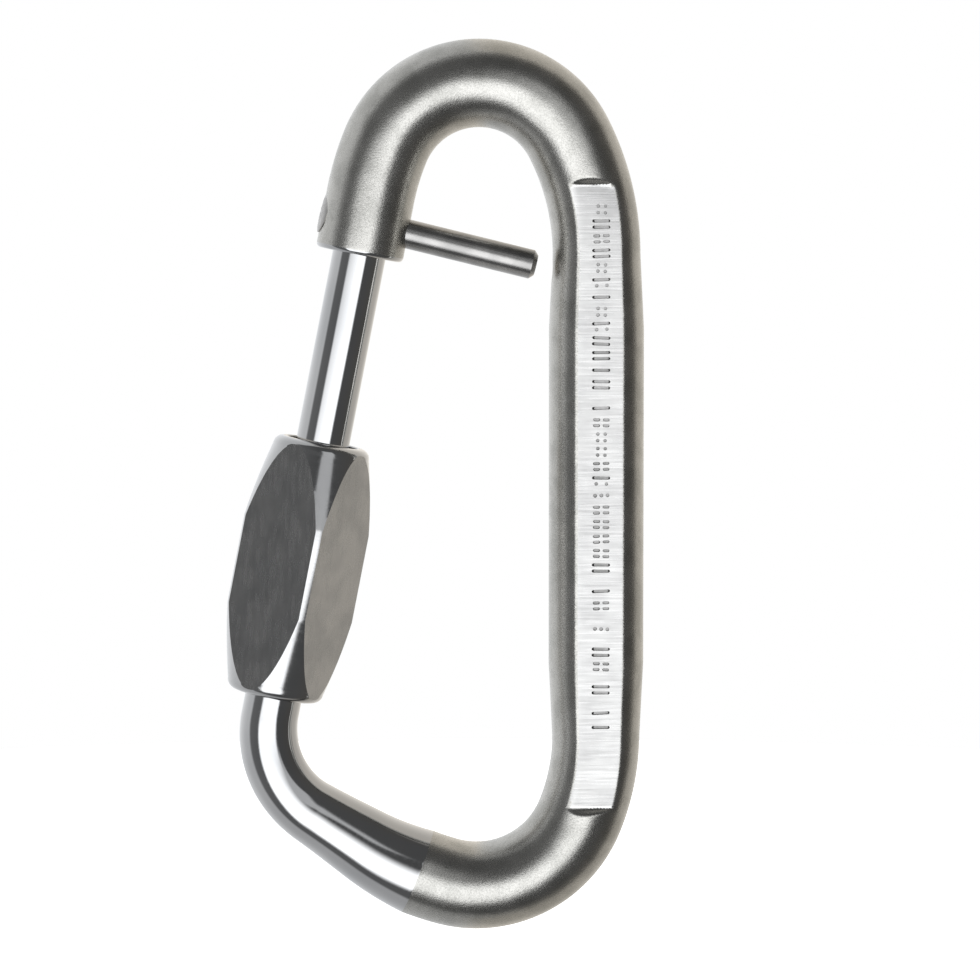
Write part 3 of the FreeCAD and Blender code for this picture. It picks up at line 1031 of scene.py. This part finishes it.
# ---- Studio light ---------------------------------------------------------------------
# A broad soft light in front and a little below, dark walls on both sides of it, and pale walls
# behind. The steel shows them as its bright and dark bands.
world = bpy.data.worlds.new("studio")
bpy.context.scene.world = world
world.use_nodes = True
studio = world.node_tree
sky = studio.nodes
wire = studio.links


def ramp_between(value, low, high):
    """0 below the first angle and 1 above the second, in degrees."""
    node = sky.new("ShaderNodeMapRange")
    node.interpolation_type = "SMOOTHSTEP"
    node.inputs["From Min"].default_value = low
    node.inputs["From Max"].default_value = high
    wire.new(value, node.inputs["Value"])
    return node.outputs[0]


def inverse(value):
    """1 where the value is 0, and 0 where it is 1."""
    return maths(studio, "SUBTRACT", 1.0, value)


def product(first, *others):
    """Several values multiplied together."""
    for other in others:
        first = maths(studio, "MULTIPLY", first, other)
    return first


def panel(left, right, low, high):
    """1 inside a soft-edged panel of the studio, between two bearings and two heights."""
    across = product(ramp_between(side_angle, left, left + 4),
                     inverse(ramp_between(side_angle, right - 4, right)))
    upright = product(ramp_between(rise_angle, low, low + 8),
                      inverse(ramp_between(rise_angle, high - 8, high)))
    return product(across, upright)


# Bearings from straight in front (right is positive), heights and the angle from the front,
# all in degrees, and how far a direction points left, right, up or down, from 0 to 1.
look = sky.new("ShaderNodeTexCoord")
parts = sky.new("ShaderNodeSeparateXYZ")
wire.new(look.outputs["Generated"], parts.inputs[0])
x, y, z = parts.outputs
degrees = 180 / math.pi
toward = product(y, -1.0)
side_angle = product(maths(studio, "ARCTAN2", x, toward), degrees)
rise_angle = product(maths(studio, "ARCSINE", z), degrees)
from_front = product(maths(studio, "ARCCOSINE", toward), degrees)
left_share = maths(studio, "MAXIMUM", product(x, -1.0), 0.0)
right_share = maths(studio, "MAXIMUM", x, 0.0)
up_share = maths(studio, "MAXIMUM", z, 0.0)
down_share = maths(studio, "MAXIMUM", product(z, -1.0), 0.0)

# The broad soft light. Its right edge slants inwards below the object's height.
slant = 0.65
slant_top = -6.0
window_strength = 1.7
below = maths(studio, "MAXIMUM", maths(studio, "SUBTRACT", slant_top, rise_angle), 0.0)
slanted = maths(studio, "ADD", side_angle, product(below, slant))
window = product(ramp_between(side_angle, -44, -35), inverse(ramp_between(slanted, 25, 34)),
                 ramp_between(rise_angle, -46, -35), inverse(ramp_between(rise_angle, -5, 17)))

# The pale walls behind start nearer the front on the left, above and below, and further back
# on the right.
wall_glow = 0.48
far_wall_glow = 0.45
floor_loss = 0.35
wall_angle = from_front
for share, shift in ((left_share, 9.0), (up_share, 6.0), (down_share, 10.0), (right_share, -15.0)):
    wall_angle = maths(studio, "ADD", wall_angle, product(share, shift))
behind = maths(studio, "ADD", product(ramp_between(wall_angle, 84, 95), wall_glow),
               product(ramp_between(wall_angle, 100, 180), far_wall_glow))
behind = product(behind, inverse(product(down_share, floor_loss)))

# All together, with a weak reflector above on the right and a little light from everywhere. It
# is a little cool from the left and in front, and warm from the right.
reflector_strength = 0.48
room_glow = 0.085
left_glow = 0.08
reflector = product(panel(6, 38, -2, 36), reflector_strength)
glow = maths(studio, "MAXIMUM", product(window, window_strength), reflector)
for light in (behind, room_glow, product(left_share, left_glow)):
    glow = maths(studio, "ADD", glow, light)
tint = sky.new("ShaderNodeMix")
tint.data_type = "RGBA"
tint.inputs["A"].default_value = (0.95, 0.97, 1.0, 1)
tint.inputs["B"].default_value = (1.0, 0.955, 0.885, 1)
wire.new(ramp_between(side_angle, 30, 110), tint.inputs["Factor"])
backdrop = sky["Background"]
wire.new(tint.outputs["Result"], backdrop.inputs["Color"])
wire.new(glow, backdrop.inputs["Strength"])

# The camera itself looks onto plain white.
paths = sky.new("ShaderNodeLightPath")
white = sky.new("ShaderNodeBackground")
white.inputs["Color"].default_value = (1, 1, 1, 1)
white.inputs["Strength"].default_value = 1.0
choose = sky.new("ShaderNodeMixShader")
wire.new(paths.outputs["Is Camera Ray"], choose.inputs[0])
wire.new(backdrop.outputs[0], choose.inputs[1])
wire.new(white.outputs[0], choose.inputs[2])
wire.new(choose.outputs[0], sky["World Output"].inputs["Surface"])


# ---- Camera ---------------------------------------------------------------------------
# Straight on, a little to the left and a little above, from an arm's length.
camera_turn = math.radians(-2)
camera_rise = math.radians(4)
camera_distance = 0.6027
aim = Vector((0.0015, 0, -0.0418))
back = Vector((math.sin(camera_turn) * math.cos(camera_rise),
               -math.cos(camera_turn) * math.cos(camera_rise), math.sin(camera_rise)))
lens = bpy.data.cameras.new("camera")
lens.lens = 161.6
lens.sensor_width = 36.0
camera = bpy.data.objects.new("camera", lens)
camera.location = aim + back * camera_distance
camera.rotation_mode = "QUATERNION"
camera.rotation_quaternion = (-back).to_track_quat("-Z", "Y")
bpy.context.scene.collection.objects.link(camera)
bpy.context.scene.camera = camera
bpy.context.scene.view_settings.view_transform = "Standard"
